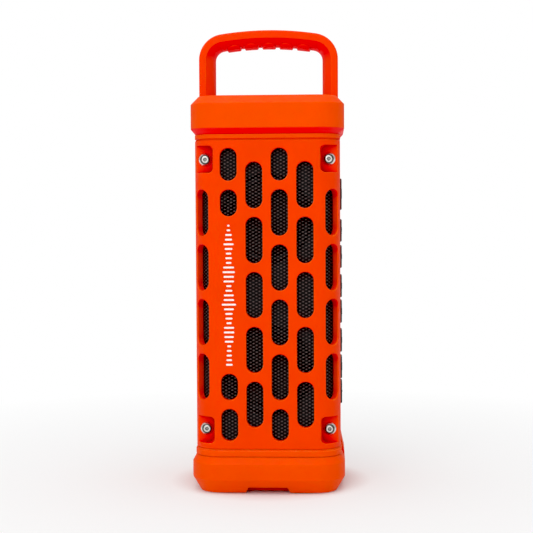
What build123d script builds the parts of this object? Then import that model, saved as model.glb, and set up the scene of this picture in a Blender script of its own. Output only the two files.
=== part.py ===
from build123d import *
import math
import os

# A rugged portable wireless speaker: a square column with bumper caps at both ends, a fixed carrying
# handle, screwed-on slotted grilles over metal mesh, and a column of keys down its right side.
# Millimetres. +Z is up, the origin is the centre of the base, the front faces -Y, the keys face +X.

# ---- Outer shell -----------------------------------------------------------------------------
cap_width, cap_corner = 102.0, 19.0
grille_width, grille_corner, grille_wall = 96.4, 16.4, 4.4
core_width, core_corner = 85.0, 10.7
upper_collar_width, lower_collar_width = 96.6, 97.6
grille_half, core_half, cap_half = grille_width / 2, core_width / 2, cap_width / 2

base_z = 0.4                      # underside of the bottom cap, above the rubber base pad
lower_bevel_z, upper_bevel_z = 9.6, 19.9
bottom_cap_top = 24.5
lower_collar_low, lower_collar_high = 25.0, 28.8
grille_low, grille_high = 29.6, 233.5
grille_mid = (grille_low + grille_high) / 2
upper_collar_low, top_cap_low = 234.3, 237.0
lip_inset, lip_gap = 0.6, 0.05        # the collars' recessed lips close the gaps above and below them
top_face_low, top_face_high, deck_z = 241.0, 257.3, 262.6
deck_underside = 257.5
floor_top, notch_top, notch_inner = 4.4, 4.3, 39.0
lid_low, seal_top = 21.5, 238.0
pad_width_base, pad_top = 76.0, 1.6
tongue_half, tongue_top = 13.8, 33.1
lower_bevel, rim_bevel = 5.4, 2.6          # how far each bevel of the bottom cap leans in
skirt_bevel, crown_bevel = 3.4, 5.2        # and each bevel of the top cap
cap_cavity, cap_cavity_corner = 88.0, 13.0
edge_round = 0.9

# ---- Grille slots, screws and side strips ------------------------------------------------------
slot_width, slot_length, slot_pitch = 11.15, 30.4, 36.13
column_pitch = 16.7
short_slot, short_slot_z = 21.3, 85.8      # the slots beside the top and bottom edges
badge_slot, badge_slot_z = 17.4, 60.6      # the slots above and below the printed graphic
side_short_slot, side_short_z = 17.4, 69.0
slot_round = 0.5
screw_x, screw_z = 40.8, 89.3              # from the grille's centre
pocket_edge, pocket_height, pocket_round = 34.7, 17.9, 3.3
pocket_floor, pocket_foot, pocket_wall = 39.2, 36.2, 2.0      # its inner side wall leans in towards the screw
tab_back = pocket_floor - 3.0              # each screw clamps a 3 mm tab at its pocket's floor
strip_half, strip_gap = 14.0, 0.4          # the side strips that the two grilles leave between them
strip_thickness = 2.2
mesh_face, mesh_thickness = 43.6, 0.7

# ---- Keys on the +X side -----------------------------------------------------------------------
key_depth, key_corner, key_proud, key_gap = 15.0, 2.4, 1.3, 0.35
key_height = 15.5
key_places = [(198.0, 21.5)] + [(z, key_height) for z in (173.2, 155.2, 135.0, 117.4, 97.4, 79.0, 61.8)]

# ---- Handle ------------------------------------------------------------------------------------
handle_half, handle_top, handle_half_depth = 47.15, 309.2, 14.0
handle_corner, handle_crown = 17.5, 213.0  # radii of the outline's corners and of its arched top
handle_foot = 260.6                        # the legs stand in sockets in the deck
handle_screw_places = [(x, y) for x in (-41, 41) for y in (-6, 6)]
opening_low = 255.0                        # the opening's cutter reaches below the deck
opening_face_half, opening_face_top, opening_face_corner = 42.6, 304.0, 13.0
leg_swell, grip_swell, corner_swell = 5.9, 4.9, 6.0
pad_pitch, pad_width, pad_length, pad_rise, pad_round = 11.9, 9.0, 19.4, 1.2, 0.8

# ---- Insides -----------------------------------------------------------------------------------
baffle = 5.0                               # thickness of the core's front and rear walls
side_wall = 2.5
cavity_front = core_half - baffle
cavity_side = core_half - side_wall
cavity_corner = 2.5
core_low, core_ceiling = 26.0, 233.5
post_place, post_radius = 33.0, 5.2
shank_radius, shank_hole = 1.7, 1.85       # the long screws that hold the caps, and their clearance holes
head_radius, head_height, head_recess = 3.2, 2.4, 3.6
cross_length, cross_width = 3.6, 0.9
driver_offset = 50.0                       # drivers above and below the grille's centre
cutout_radius = 30.0
cell_radius, cell_length, cell_y, cell_low = 9.2, 65.0, 14.5, 56.0
hinge_x, hinge_z, hinge_radius = -47.2, 65.0, 0.6

os.makedirs("parts", exist_ok=True)


def save(piece, node):
    """Labels a finished piece and writes it to its own STEP file."""
    piece.part.label = node
    export_step(piece.part, f"parts/{node}.step")


def rounded_stack(sections):
    """Straight-sided loft through rounded squares, given as (z, width, corner radius)."""
    outlines = []
    for z, width, corner in sections:
        with BuildSketch(Plane.XY.offset(z)) as outline:
            RectangleRounded(width, width, corner)
        outlines.append(outline.sketch)
    loft(outlines, ruled=True)


def rounded_block(width, corner, low, high, mode=Mode.ADD):
    """A square prism with rounded upright edges."""
    with BuildSketch(Plane.XY.offset(low)) as outline:
        RectangleRounded(width, width, corner)
    extrude(outline.sketch, amount=high - low, mode=mode)


def block(low, high, mode=Mode.ADD):
    """A box between two opposite corners."""
    size = [b - a for a, b in zip(low, high)]
    centre = [(a + b) / 2 for a, b in zip(low, high)]
    with Locations(tuple(centre)):
        Box(*size, mode=mode)


def column(x, y, radius, low, high, mode=Mode.ADD):
    """An upright cylinder."""
    with Locations((x, y, (low + high) / 2)):
        Cylinder(radius, high - low, mode=mode)


corner_posts = [(x, y) for x in (-post_place, post_place) for y in (-post_place, post_place)]
screw_heights = (grille_mid - screw_z, grille_mid + screw_z)

# ================================ Bumper caps, collars and base =================================

with BuildPart() as bottom_cap:
    rounded_stack([
        (base_z, cap_width - 2 * lower_bevel, cap_corner - lower_bevel),
        (lower_bevel_z, cap_width, cap_corner),
        (upper_bevel_z, cap_width, cap_corner),
        (bottom_cap_top, cap_width - 2 * rim_bevel, cap_corner - rim_bevel),
    ])
    for z in (lower_bevel_z, upper_bevel_z):
        fillet(bottom_cap.edges().filter_by_position(Axis.Z, z - 0.1, z + 0.1), radius=edge_round)
    rounded_block(cap_cavity, cap_cavity_corner, floor_top, bottom_cap_top, mode=Mode.SUBTRACT)
    for x, y in corner_posts:
        column(x, y, post_radius, floor_top - 1, lid_low)
    # A tongue on the +X side rises over the collar to the foot of the key strip.
    with BuildSketch(Plane.XZ.offset(-tongue_half)):
        Polygon((44.5, 20.5), (50.6, 20.5), (50.9, 21.9), (48.5, tongue_top), (46.9, tongue_top),
                (46.9, 24.2), (44.5, 24.2), align=None)
    extrude(amount=2 * tongue_half)
    # The floor is thicker behind the finger notches, so that they stay closed.
    for y in (-1, 1):
        with Locations((0, y * 41.5, floor_top + 0.5)):
            Box(34, 7, 3)
    # Finger notches in the front and rear edges of the base.
    with BuildSketch(Plane.XZ):
        Polygon((-15.3, base_z - 1), (15.3, base_z - 1), (12.75, notch_top), (-12.75, notch_top), align=None)
    extrude(amount=cap_half, both=True, mode=Mode.SUBTRACT)
    block((-17, -notch_inner, base_z), (17, notch_inner, floor_top))
    rounded_block(pad_width_base + 0.4, 8.2, base_z, pad_top, mode=Mode.SUBTRACT)
    for x, y in corner_posts:
        column(x, y, head_recess, base_z, floor_top, mode=Mode.SUBTRACT)
        column(x, y, shank_hole, floor_top, lid_low, mode=Mode.SUBTRACT)
save(bottom_cap, "bottom_cap")

with BuildPart() as base_pad:
    rounded_block(pad_width_base, 8.0, 0, pad_top)
    fillet(base_pad.edges().group_by(Axis.Z)[0], radius=0.4)
    rounded_block(pad_width_base - 34, 6.0, 0, pad_top, mode=Mode.SUBTRACT)
    for x, y in corner_posts:
        column(x, y, head_recess + 0.1, 0, pad_top, mode=Mode.SUBTRACT)
save(base_pad, "base_pad")

with BuildPart() as base_screws:
    for x, y in corner_posts:
        column(x, y, head_radius, floor_top - head_height, floor_top)
        column(x, y, shank_radius, floor_top, 36)
        with Locations((x, y, floor_top - head_height + 0.7)):
            Box(cross_length, cross_width, 1.4, mode=Mode.SUBTRACT)
            Box(cross_width, cross_length, 1.4, mode=Mode.SUBTRACT)
save(base_screws, "base_screws")

with BuildPart() as lower_collar:
    rounded_block(lower_collar_width, grille_corner + 0.6, lower_collar_low, lower_collar_high)
    fillet(lower_collar.edges().group_by(Axis.Z)[-1], radius=0.5)
    lip_width, lip_corner = lower_collar_width - 2 * lip_inset, grille_corner + 0.6 - lip_inset
    rounded_block(lip_width, lip_corner, bottom_cap_top + lip_gap, grille_low - lip_gap)
    rounded_block(core_width, core_corner, bottom_cap_top, grille_low, mode=Mode.SUBTRACT)
    block((46.7, -tongue_half - 0.2, 24), (50, tongue_half + 0.2, 30), mode=Mode.SUBTRACT)
save(lower_collar, "lower_collar")

with BuildPart() as upper_collar:
    rounded_block(upper_collar_width, grille_corner + 0.1, upper_collar_low, top_cap_low)
    lip_width, lip_corner = upper_collar_width - 2 * lip_inset, grille_corner + 0.1 - lip_inset
    rounded_block(lip_width, lip_corner, grille_high + lip_gap, upper_collar_low)
    rounded_block(core_width, core_corner, grille_high, top_cap_low, mode=Mode.SUBTRACT)
save(upper_collar, "upper_collar")

# ================================ Handle ========================================================


def grip_bulge(y):
    """How far the D-shaped grip swells at depth y: 0 at the front and rear faces, 1 in the middle."""
    arc_rise = 0.26 * handle_half_depth
    arc_radius = (handle_half_depth**2 + arc_rise**2) / (2 * arc_rise)
    return (math.sqrt(arc_radius**2 - y**2) - (arc_radius - arc_rise)) / arc_rise


def opening_outline(y, lowered):
    """The finger opening's outline at depth y: straight sides, round corners and an arched top."""
    swell = grip_bulge(y)
    half = opening_face_half - leg_swell * swell
    top = opening_face_top - grip_swell * swell - lowered
    corner = opening_face_corner - corner_swell * swell
    crown = handle_crown - (handle_top - top)
    centre_z = top - crown + math.sqrt((crown - corner) ** 2 - (half - corner) ** 2)
    lean = (half - corner) / (crown - corner)
    turn = (math.pi / 2 + math.asin(lean)) / 2
    meet = Vector(crown * lean, top - crown + crown * math.sqrt(1 - lean**2))
    mid = Vector(half - corner + corner * math.sin(turn), centre_z + corner * math.cos(turn))
    low = opening_low
    with BuildSketch(Plane.XZ.offset(-y)) as outline:
        with BuildLine():
            Line((-half, low), (half, low))
            Line((half, low), (half, centre_z))
            ThreePointArc((half, centre_z), (mid.X, mid.Y), (meet.X, meet.Y))
            ThreePointArc((meet.X, meet.Y), (0, top), (-meet.X, meet.Y))
            ThreePointArc((-meet.X, meet.Y), (-mid.X, mid.Y), (-half, centre_z))
            Line((-half, centre_z), (-half, low))
        make_face()
    return outline.sketch


def opening_loft(lowered):
    """The finger opening as a solid, barrel-shaped from front to back."""
    steps = [handle_half_depth * s for s in (-1, -0.75, -0.4, 0, 0.4, 0.75, 1)]
    with BuildPart() as opening:
        loft([opening_outline(y, lowered) for y in steps])
    return opening.part


with BuildPart() as finger_grooves:
    add(opening_loft(0))
    for place in range(-2, 3):
        with BuildSketch(Plane.XY.offset(opening_low)):
            with Locations((place * pad_pitch, 0)):
                SlotOverall(pad_length, pad_width, rotation=90)
        extrude(amount=handle_top - opening_low, mode=Mode.SUBTRACT)

corner_z = handle_top - handle_crown + math.sqrt(
    (handle_crown - handle_corner) ** 2 - (handle_half - handle_corner) ** 2)
crown_lean = (handle_half - handle_corner) / (handle_crown - handle_corner)
crown_x = handle_crown * crown_lean
crown_z = handle_top - handle_crown + handle_crown * math.sqrt(1 - crown_lean**2)
corner_turn = (math.pi / 2 + math.asin(crown_lean)) / 2
corner_mid_x = handle_half - handle_corner + handle_corner * math.sin(corner_turn)
corner_mid_z = corner_z + handle_corner * math.cos(corner_turn)

with BuildPart() as handle:
    with BuildSketch(Plane.XZ.offset(-handle_half_depth)):
        with BuildLine():
            Line((-handle_half, handle_foot), (handle_half, handle_foot))
            Line((handle_half, handle_foot), (handle_half, corner_z))
            ThreePointArc((handle_half, corner_z), (corner_mid_x, corner_mid_z), (crown_x, crown_z))
            ThreePointArc((crown_x, crown_z), (0, handle_top), (-crown_x, crown_z))
            ThreePointArc((-crown_x, crown_z), (-corner_mid_x, corner_mid_z), (-handle_half, corner_z))
            Line((-handle_half, corner_z), (-handle_half, handle_foot))
        make_face()
    extrude(amount=2 * handle_half_depth)
    face_edges = handle.faces().filter_by(Axis.Y).edges()
    fillet(face_edges.filter_by(lambda e: e.center().Z > handle_foot + 1), radius=1.4)
    add(opening_loft(pad_rise), mode=Mode.SUBTRACT)
    add(finger_grooves.part, mode=Mode.SUBTRACT)
    pad_area = (pad_length - pad_width) * pad_width + math.pi * pad_width**2 / 4
    pads = handle.faces().filter_by(lambda face: abs(face.area / pad_area - 1) < 0.06)
    fillet(pads.edges(), radius=pad_round)
    for x, y in handle_screw_places:
        column(x, y, 1.5, handle_foot, handle_foot + 13, mode=Mode.SUBTRACT)
save(handle, "handle")

with BuildPart() as handle_screws:
    for x, y in handle_screw_places:
        column(x, y, 2.7, deck_underside - 2, deck_underside)
        column(x, y, 1.5, deck_underside, handle_foot + 12)
save(handle_screws, "handle_screws")

with BuildPart() as top_cap:
    rounded_stack([
        (top_cap_low, cap_width - 2 * skirt_bevel, cap_corner - skirt_bevel),
        (top_face_low, cap_width, cap_corner),
        (top_face_high, cap_width, cap_corner),
        (deck_z, cap_width - 2 * crown_bevel, cap_corner - crown_bevel),
    ])
    for z in (top_face_low, top_face_high, deck_z):
        fillet(top_cap.edges().filter_by_position(Axis.Z, z - 0.1, z + 0.1), radius=edge_round)
    rounded_block(cap_cavity, cap_cavity_corner, top_cap_low, deck_underside, mode=Mode.SUBTRACT)
    for x, y in corner_posts:
        column(x, y, post_radius, seal_top, deck_underside + 1)
        column(x, y, shank_radius, seal_top, deck_underside - 4, mode=Mode.SUBTRACT)
    add(handle.part, mode=Mode.SUBTRACT)
    for x, y in handle_screw_places:
        column(x, y, 1.6, deck_underside - 1, handle_foot + 13, mode=Mode.SUBTRACT)
save(top_cap, "top_cap")

# ================================ Grilles and mesh ==============================================


def rows(kind):
    """Slot heights from the grille's centre, with their lengths, for one column."""
    if kind == "even":
        return [(step * slot_pitch, slot_length) for step in (-2, -1, 0, 1, 2)]
    odd = [(side * step * slot_pitch, slot_length) for side in (-1, 1) for step in (0.5, 1.5)]
    ends = [(side * short_slot_z, short_slot) for side in (-1, 1)]
    if kind == "odd":
        return odd + ends
    if kind == "badge":
        return ends + [(side * badge_slot_z, badge_slot) for side in (-1, 1)]
    if kind == "corner":
        return odd
    short_ends = [(side * side_short_z, side_short_slot) for side in (-1, 1)]
    return [(step * slot_pitch, slot_length) for step in (-1, 0, 1)] + short_ends


def slot_column(plane, across, kind, reach, both=False):
    """Cuts one column of upright slots, drawn on a plane whose local Y runs up the grille."""
    for rise, length in rows(kind):
        with BuildSketch(plane) as slot:
            with Locations((across, rise)):
                SlotOverall(length, slot_width, rotation=90)
        extrude(slot.sketch, amount=reach, both=both, mode=Mode.SUBTRACT)


def on_skin(point):
    """Whether a face's centre lies on the grille's outer faces or its outer corner rounds."""
    return max(abs(point.X), abs(point.Y)) > grille_half - 0.1 or math.hypot(point.X, point.Y) > 60


def build_grille(first_column):
    """One U-shaped grille, in the front's place: a face, two rounded corners and two side returns."""
    corner_axis = grille_half - grille_corner
    with BuildPart() as grille:
        rounded_block(grille_width, grille_corner, grille_low, grille_high)
        rims = grille.edges().group_by(Axis.Z)
        fillet(rims[0] + rims[-1], radius=0.8)
        inner = grille_width - 2 * grille_wall
        rounded_block(inner, grille_corner - grille_wall, grille_low, grille_high, mode=Mode.SUBTRACT)
        # Pocket walls and the tab that each screw clamps.
        for x in (-1, 1):
            for z in screw_heights:
                inside, outside = pocket_edge - pocket_wall, grille_half - 1.6
                height = pocket_height / 2 + pocket_wall
                with BuildSketch(Plane.XY.offset(z - height)) as pocket:
                    RectangleRounded(2 * (grille_half - 0.5), 2 * (grille_half - 0.5), grille_corner - 0.5)
                    with Locations((x * (inside + outside) / 2, -(grille_half + tab_back) / 2)):
                        Rectangle(outside - inside, grille_half - tab_back, mode=Mode.INTERSECT)
                extrude(pocket.sketch, amount=2 * height)
        block((-cap_half, -strip_half - strip_gap, 0), (cap_half, cap_half, handle_top), mode=Mode.SUBTRACT)
        front = Plane((0, -grille_half - 1, grille_mid), x_dir=(1, 0, 0), z_dir=(0, -1, 0))
        across = Plane((0, 0, grille_mid), x_dir=(0, 1, 0), z_dir=(1, 0, 0))
        kinds = (first_column, "even", "odd", "even")
        for place, kind in zip((-1.5, -0.5, 0.5, 1.5), kinds):
            slot_column(front, place * column_pitch, kind, -grille_wall - 2)
        slot_column(across, -1.5 * column_pitch, "side", cap_half, both=True)
        for x in (-1, 1):
            corner = Plane((x * corner_axis, -corner_axis, grille_mid), x_dir=(1, x, 0), z_dir=(x, -1, 0))
            slot_column(corner, 0, "corner", grille_corner + 4)
        rims = [edge for face in grille.faces() if on_skin(face.center())
                for wire in face.inner_wires() for edge in wire.edges()]
        fillet(rims, radius=slot_round)
        for x in (-1, 1):
            for z in screw_heights:
                outlines = []
                for depth, edge in ((pocket_floor, pocket_foot), (grille_half + 1, pocket_edge)):
                    with BuildSketch(Plane.XZ.offset(depth)) as pocket:
                        with Locations((x * (edge + 10), z)):
                            RectangleRounded(20, pocket_height, pocket_round)
                    outlines.append(pocket.sketch)
                loft(outlines, ruled=True, mode=Mode.SUBTRACT)
                with BuildSketch(Plane.XZ.offset(pocket_floor)) as hole:
                    with Locations((x * screw_x, z)):
                        Circle(shank_radius + 0.3)
                extrude(hole.sketch, amount=tab_back - pocket_floor - 1, mode=Mode.SUBTRACT)
    return grille


front_grille = build_grille("badge")
save(front_grille, "front_grille")

with BuildPart() as rear_grille:
    mirror(build_grille("odd").part, about=Plane.XZ)
save(rear_grille, "rear_grille")


def build_mesh():
    """The mesh sheet behind one grille: a U-shaped skin with gaps at the screw pockets."""
    mesh_corner = grille_corner - (grille_half - mesh_face)
    with BuildPart() as mesh:
        rounded_block(2 * mesh_face, mesh_corner, grille_low + 0.6, grille_high - 0.6)
        inner_width = 2 * (mesh_face - mesh_thickness)
        rounded_block(inner_width, mesh_corner - mesh_thickness, grille_low, grille_high, mode=Mode.SUBTRACT)
        block((-cap_half, -strip_half - strip_gap, 0), (cap_half, cap_half, handle_top), mode=Mode.SUBTRACT)
        for x in (-1, 1):
            for z in screw_heights:
                with Locations((x * 41, -37, z)):
                    Box(17.4, 26.8, 22.6, mode=Mode.SUBTRACT)
    return mesh


with BuildPart() as front_mesh:
    add(build_mesh().part)
save(front_mesh, "front_mesh")

with BuildPart() as rear_mesh:
    mirror(build_mesh().part, about=Plane.XZ)
save(rear_mesh, "rear_mesh")

button_radius, button_height = 4.25, 2.2
with BuildPart() as button_screw:
    with BuildSketch(Plane.XZ):
        with BuildLine():
            Line((0, -12), (shank_radius, -12))
            Line((shank_radius, -12), (shank_radius, 0))
            Line((shank_radius, 0), (button_radius, 0))
            Line((button_radius, 0), (button_radius, 0.6))
            ThreePointArc((button_radius, 0.6), (3.3, 1.65), (1.9, button_height))
            Line((1.9, button_height), (0, button_height))
            Line((0, button_height), (0, -12))
        make_face()
    revolve(axis=Axis.Z)
    with BuildSketch(Plane.XY.offset(0.8)):
        RegularPolygon(1.45, 6)
    extrude(amount=2, mode=Mode.SUBTRACT)

with BuildPart() as grille_screws:
    for x in (-screw_x, screw_x):
        for z in screw_heights:
            front_place = Location((x, -pocket_floor, z), (90, 0, 0))
            rear_place = Location((x, pocket_floor, z), (-90, 0, 0))
            with Locations(front_place, rear_place):
                add(button_screw.part)
save(grille_screws, "grille_screws")

# ================================ Core ==========================================================

driver_heights = {"lower": grille_mid - driver_offset, "upper": grille_mid + driver_offset}
cap_screw_places = [(x, y) for x in (-24, 24) for y in (-30, 30)]
boss_half, boss_side, boss_back, boss_front = 10.7, 43.6, 24.0, 36.1
rail_y, board_thickness, rail_low, rail_high = 12.0, 1.6, 126.0, 222.0
bay_half, bay_low, bay_high, bay_wall = 8.0, 42.6, 61.4, 1.2
driver_screw_circle, driver_screw_radius, driver_screw_head = 32.3, 1.2, 2.1
driver_screw_angles = [math.radians(45 + 90 * turn) for turn in range(4)]
driver_screw_places = [
    (driver_screw_circle * math.cos(angle), driver_screw_circle * math.sin(angle))
    for angle in driver_screw_angles
]
driver_screw_tip = -40.5
jack_z, socket_z, jack_y = 57.4, 48.4, -1.3


def bar(x, z, radius, low, high, mode=Mode.ADD):
    """A cylinder lying along Y."""
    with Locations(Location((x, (low + high) / 2, z), (90, 0, 0))):
        Cylinder(radius, high - low, mode=mode)


def spoke(y, z, radius, low, high, mode=Mode.ADD):
    """A cylinder lying along X."""
    with Locations(Location(((low + high) / 2, y, z), (0, 90, 0))):
        Cylinder(radius, high - low, mode=mode)


with BuildPart() as core_housing:
    rounded_block(core_width, core_corner, core_low, top_cap_low)
    with BuildSketch(Plane.XY.offset(core_low)):
        RectangleRounded(2 * cavity_side, 2 * cavity_front, cavity_corner)
    extrude(amount=core_ceiling - core_low, mode=Mode.SUBTRACT)
    for x, y in corner_posts:
        column(x, y, post_radius, core_low, 40)
    for x in (-1, 1):
        for y in (-1, 1):
            for z in screw_heights:
                with BuildSketch(Plane.XY.offset(z - boss_half)):
                    RectangleRounded(2 * boss_side, 2 * boss_side, 11.8)
                    with Locations((x * 40, y * (boss_front + boss_back) / 2)):
                        Rectangle(20, boss_front - boss_back, mode=Mode.INTERSECT)
                extrude(amount=2 * boss_half)
                with Locations((x * 38.2, y * (boss_front + 5), z)):
                    Box(11.6, 10, 2 * boss_half + 0.6, mode=Mode.SUBTRACT)
                low, high = sorted((y * boss_front, y * (boss_back + 2)))
                bar(x * screw_x, z, shank_radius, low, high, mode=Mode.SUBTRACT)
        for y in (rail_y - 0.9, rail_y + board_thickness + 0.9):
            with Locations((x * (cavity_side - 1.6), y, (rail_low + rail_high) / 2)):
                Box(3.6, 1.8, rail_high - rail_low)
    for x, y in corner_posts:
        column(x, y, shank_radius, core_low, 37, mode=Mode.SUBTRACT)
    for x, y in cap_screw_places:
        column(x, y, shank_hole, core_ceiling, top_cap_low, mode=Mode.SUBTRACT)
    for z in driver_heights.values():
        bar(0, z, cutout_radius, -core_half, -cavity_front, mode=Mode.SUBTRACT)
        for x, rise in driver_screw_places:
            bar(x, z + rise, driver_screw_radius, driver_screw_tip, -cavity_front, mode=Mode.SUBTRACT)
    with BuildSketch(Plane.XZ.offset(-cavity_front)):
        with Locations((0, grille_mid)):
            SlotOverall(106, 62, rotation=90)
    extrude(amount=-10, mode=Mode.SUBTRACT)
    block((39, -6, 126), (44, 6, 130), mode=Mode.SUBTRACT)
    block((-44, -bay_half - bay_wall, bay_low - bay_wall), (-39, bay_half + bay_wall, bay_high + bay_wall),
          mode=Mode.SUBTRACT)
save(core_housing, "core_housing")

with BuildPart() as core_lid:
    rounded_block(core_width, core_corner, lid_low, lower_collar_low)
    for x, y in corner_posts:
        column(x, y, shank_hole, lid_low, lower_collar_low, mode=Mode.SUBTRACT)
save(core_lid, "core_lid")

with BuildPart() as lower_seal:
    rounded_block(core_width, core_corner, lower_collar_low, core_low)
    rounded_block(2 * cavity_front, 6, lower_collar_low, core_low, mode=Mode.SUBTRACT)
save(lower_seal, "lower_seal")

with BuildPart() as upper_seal:
    rounded_block(core_width, core_corner, top_cap_low, seal_top)
    rounded_block(core_width - 42, 6, top_cap_low, seal_top, mode=Mode.SUBTRACT)
    for x, y in cap_screw_places:
        column(x, y, shank_hole, top_cap_low, seal_top, mode=Mode.SUBTRACT)
save(upper_seal, "upper_seal")

with BuildPart() as cap_screws:
    for x, y in cap_screw_places:
        column(x, y, head_radius, core_ceiling - head_height, core_ceiling)
        column(x, y, shank_radius, core_ceiling, core_ceiling + 16)
save(cap_screws, "cap_screws")

# ================================ Key strip on the +X side ======================================

key_face = grille_half + key_proud
panel_back = grille_half - strip_thickness
flange_back, flange_front = panel_back - 0.9, panel_back - 0.1
light_heights = [40.5, 43.5, 46.5, 49.5]

control_low = tongue_top + 0.3
with BuildPart() as control_panel:
    block((panel_back, -strip_half, control_low), (grille_half, strip_half, grille_high))
    fillet(control_panel.edges().filter_by(Axis.Z).group_by(Axis.X)[-1], radius=0.6)
    for y in (-1, 1):
        low_y, high_y = sorted((y * (strip_half - 1.8), y * strip_half))
        block((core_half, low_y, control_low), (panel_back, high_y, grille_high))
    for z, height in key_places:
        with BuildSketch(Plane.YZ.offset(panel_back)):
            with Locations((0, z)):
                RectangleRounded(key_depth + 2 * key_gap, height + 2 * key_gap, key_corner + key_gap)
        extrude(amount=strip_thickness, mode=Mode.SUBTRACT)
    for z in light_heights:
        spoke(0, z, 0.9, panel_back, grille_half, mode=Mode.SUBTRACT)
save(control_panel, "control_panel")

with BuildPart() as charge_lights:
    for z in light_heights:
        spoke(0, z, 0.9, 43.7, grille_half)
save(charge_lights, "charge_lights")

with BuildPart() as key_board:
    block((42.6, -10, 36), (43.6, 10, 212))
    block((39.2, -5.8, 126.2), (42.6, 5.8, 129.8))
save(key_board, "key_board")

with BuildPart() as key_switches:
    for z, height in key_places:
        spoke(0, z, 3.0, 43.6, 44.0)
save(key_switches, "key_switches")

with BuildPart() as key_membrane:
    block((44.05, -11, 52), (44.5, 11, 212))
save(key_membrane, "key_membrane")

key_names = [f"key_{number}" for number in range(1, len(key_places) + 1)]
for name, (z, height) in zip(key_names, key_places):
    with BuildPart() as key:
        with BuildSketch(Plane.YZ.offset(flange_back)):
            with Locations((0, z)):
                RectangleRounded(key_depth + 1.6, height + 1.4, key_corner)
        extrude(amount=flange_front - flange_back)
        with BuildSketch(Plane.YZ.offset(flange_front)):
            with Locations((0, z)):
                RectangleRounded(key_depth, height, key_corner)
        extrude(amount=key_face - flange_front)
        fillet(key.faces().sort_by(Axis.X)[-1].edges(), radius=0.8)
    save(key, name)

# ================================ Port bay and door on the -X side ==============================

door_half, door_low = 9.0, 40.6

with BuildPart() as side_panel:
    block((-grille_half, -strip_half, grille_low), (-panel_back, strip_half, grille_high))
    fillet(side_panel.edges().filter_by(Axis.Z).group_by(Axis.X)[0], radius=0.6)
    for y in (-1, 1):
        with Locations((-(core_half + panel_back) / 2, y * (strip_half - 0.9), grille_mid)):
            Box(panel_back - core_half, 1.8, grille_high - grille_low)
    recess_half, recess_low, recess_high = door_half + 0.2, door_low - 0.3, hinge_z + 1.2
    block((-50, -recess_half, recess_low), (-panel_back, recess_half, recess_high), mode=Mode.SUBTRACT)
    bar(hinge_x, hinge_z, hinge_radius, -11.2, 11.2, mode=Mode.SUBTRACT)
save(side_panel, "side_panel")

with BuildPart() as hinge_pin:
    bar(hinge_x, hinge_z, hinge_radius, -11.2, 11.2)
save(hinge_pin, "hinge_pin")

with BuildPart() as port_door:
    block((-grille_half, -door_half, door_low), (-46.4, door_half, hinge_z))
    fillet(port_door.edges().filter_by(Axis.X).group_by(Axis.Z)[0], radius=2)
    block((-46.6, -bay_half + 0.4, bay_low + 0.4), (-45.3, bay_half - 0.4, bay_high - 0.4))
    bar(hinge_x, hinge_z, 1.0, -door_half, door_half)
    with BuildSketch(Plane.XY.offset(door_low + 1.2)):
        with Locations((-grille_half, 0)):
            Ellipse(1.0, 4.5)
    extrude(amount=1.6)
    bar(hinge_x, hinge_z, hinge_radius + 0.06, -door_half, door_half, mode=Mode.SUBTRACT)
save(port_door, "port_door")

with BuildPart() as port_bay:
    block((-panel_back, -11.8, 38), (-45, 11.8, 68))
    block((-45, -bay_half - bay_wall, bay_low - bay_wall), (-38.6, bay_half + bay_wall, bay_high + bay_wall))
    block((-panel_back, -bay_half, bay_low), (-39.8, bay_half, bay_high), mode=Mode.SUBTRACT)
    with BuildSketch(Plane.YZ.offset(-39.8)):
        with Locations((0, socket_z)):
            SlotOverall(8.94, 3.26, rotation=90)
        with Locations((jack_y, jack_z)):
            Circle(3.0)
    extrude(amount=1.2, mode=Mode.SUBTRACT)
save(port_bay, "port_bay")

with BuildPart() as usb_socket:
    with BuildSketch(Plane.YZ.offset(-39.8)):
        with Locations((0, socket_z)):
            SlotOverall(8.94, 3.26, rotation=90)
    extrude(amount=8)
    with BuildSketch(Plane.YZ.offset(-39.8)):
        with Locations((0, socket_z)):
            SlotOverall(8.34, 2.66, rotation=90)
    extrude(amount=7, mode=Mode.SUBTRACT)
    block((-39.2, -0.35, socket_z - 3.3), (-32.4, 0.35, socket_z + 3.3))
save(usb_socket, "usb_socket")

with BuildPart() as aux_jack:
    spoke(jack_y, jack_z, 3.0, -39.8, -38.6)
    block((-38.6, jack_y - 3, jack_z - 3), (-26, 1.7, jack_z + 3))
    spoke(jack_y, jack_z, 1.8, -39.8, -27, mode=Mode.SUBTRACT)
save(aux_jack, "aux_jack")

with BuildPart() as charge_board:
    block((-38.4, 1.7, 41.5), (-16, 3.2, 64))
save(charge_board, "charge_board")

# ================================ Drivers =======================================================


def ring(outer, inner, low, high, z):
    """A washer around a driver's axis, which lies along Y at height z."""
    bar(0, z, outer, low, high)
    if inner:
        bar(0, z, inner, low, high, mode=Mode.SUBTRACT)


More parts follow.
